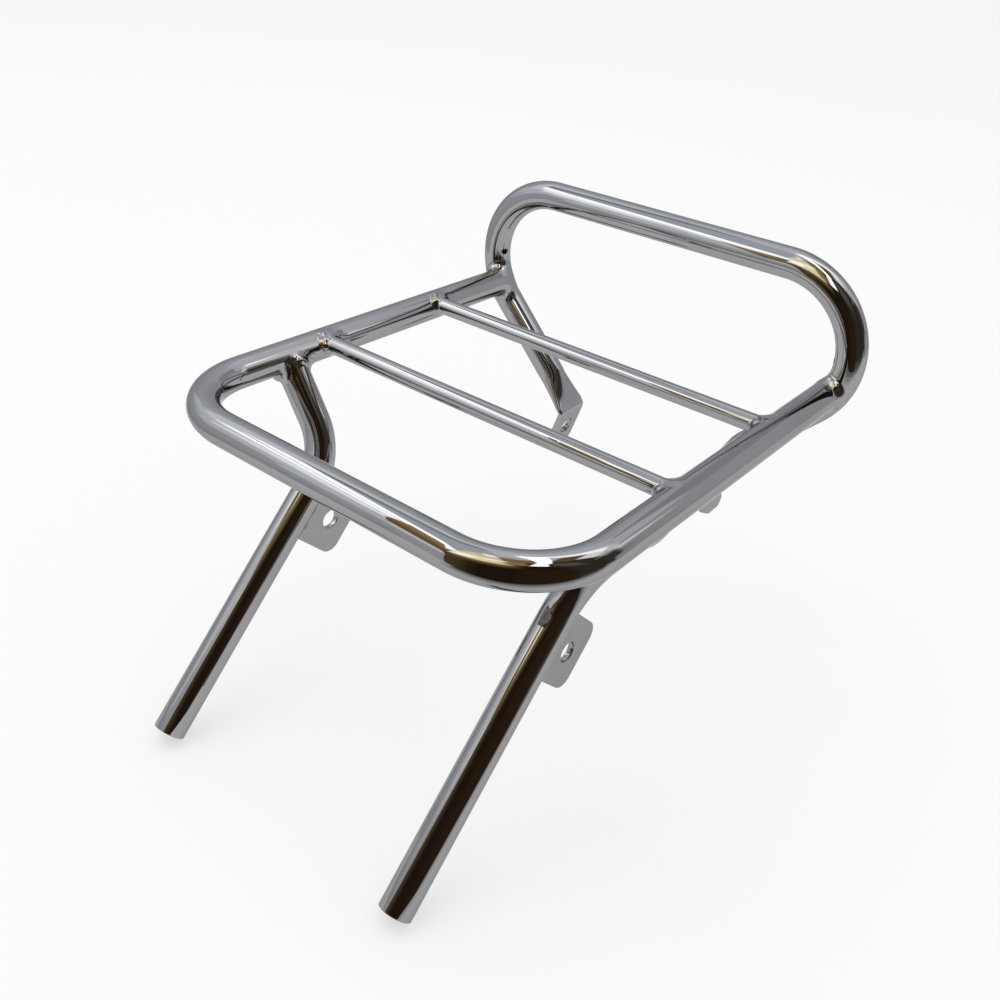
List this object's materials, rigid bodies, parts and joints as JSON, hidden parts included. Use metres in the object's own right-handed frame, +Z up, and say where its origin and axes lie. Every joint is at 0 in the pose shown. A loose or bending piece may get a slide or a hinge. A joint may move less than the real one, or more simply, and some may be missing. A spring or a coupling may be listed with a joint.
{
  "type": "motorcycle luggage rack",
  "caption": "Chromed tubular luggage rack for a motorcycle: U-shaped deck with cross rods, raised tail loop with folded ears, and bent front legs with bolt tabs.",
  "frame": {"origin": "middle of the plane that luggage rests on, which touches the top of the deck tubes", "axes": "+Y rearward along the rails, towards the tail loop, +Z up, X = 0 the plane of symmetry"},
  "size_m": [0.2156, 0.2698, 0.2057],
  "materials": {
    "tube": "polished",
    "rod": "polished",
    "plate": "polished",
    "weld": "polished"
  },
  "bodies": {
    "root": {"deck_hoop": "tube", "tail_loop": "tube", "front_leg_left": "tube", "front_leg_right": "tube", "cross_rod_front": "rod", "cross_rod_rear": "rod", "leg_tab_left": "plate", "leg_tab_right": "plate", "weld_rail_left": "weld", "weld_rail_right": "weld", "weld_leg_left": "weld", "weld_leg_right": "weld", "weld_rod_front_left": "weld", "weld_rod_front_right": "weld", "weld_rod_rear_left": "weld", "weld_rod_rear_right": "weld", "weld_tab_inner_left": "weld", "weld_tab_inner_right": "weld", "weld_tab_outer_left": "weld", "weld_tab_outer_right": "weld"}
  },
  "joints": []
}
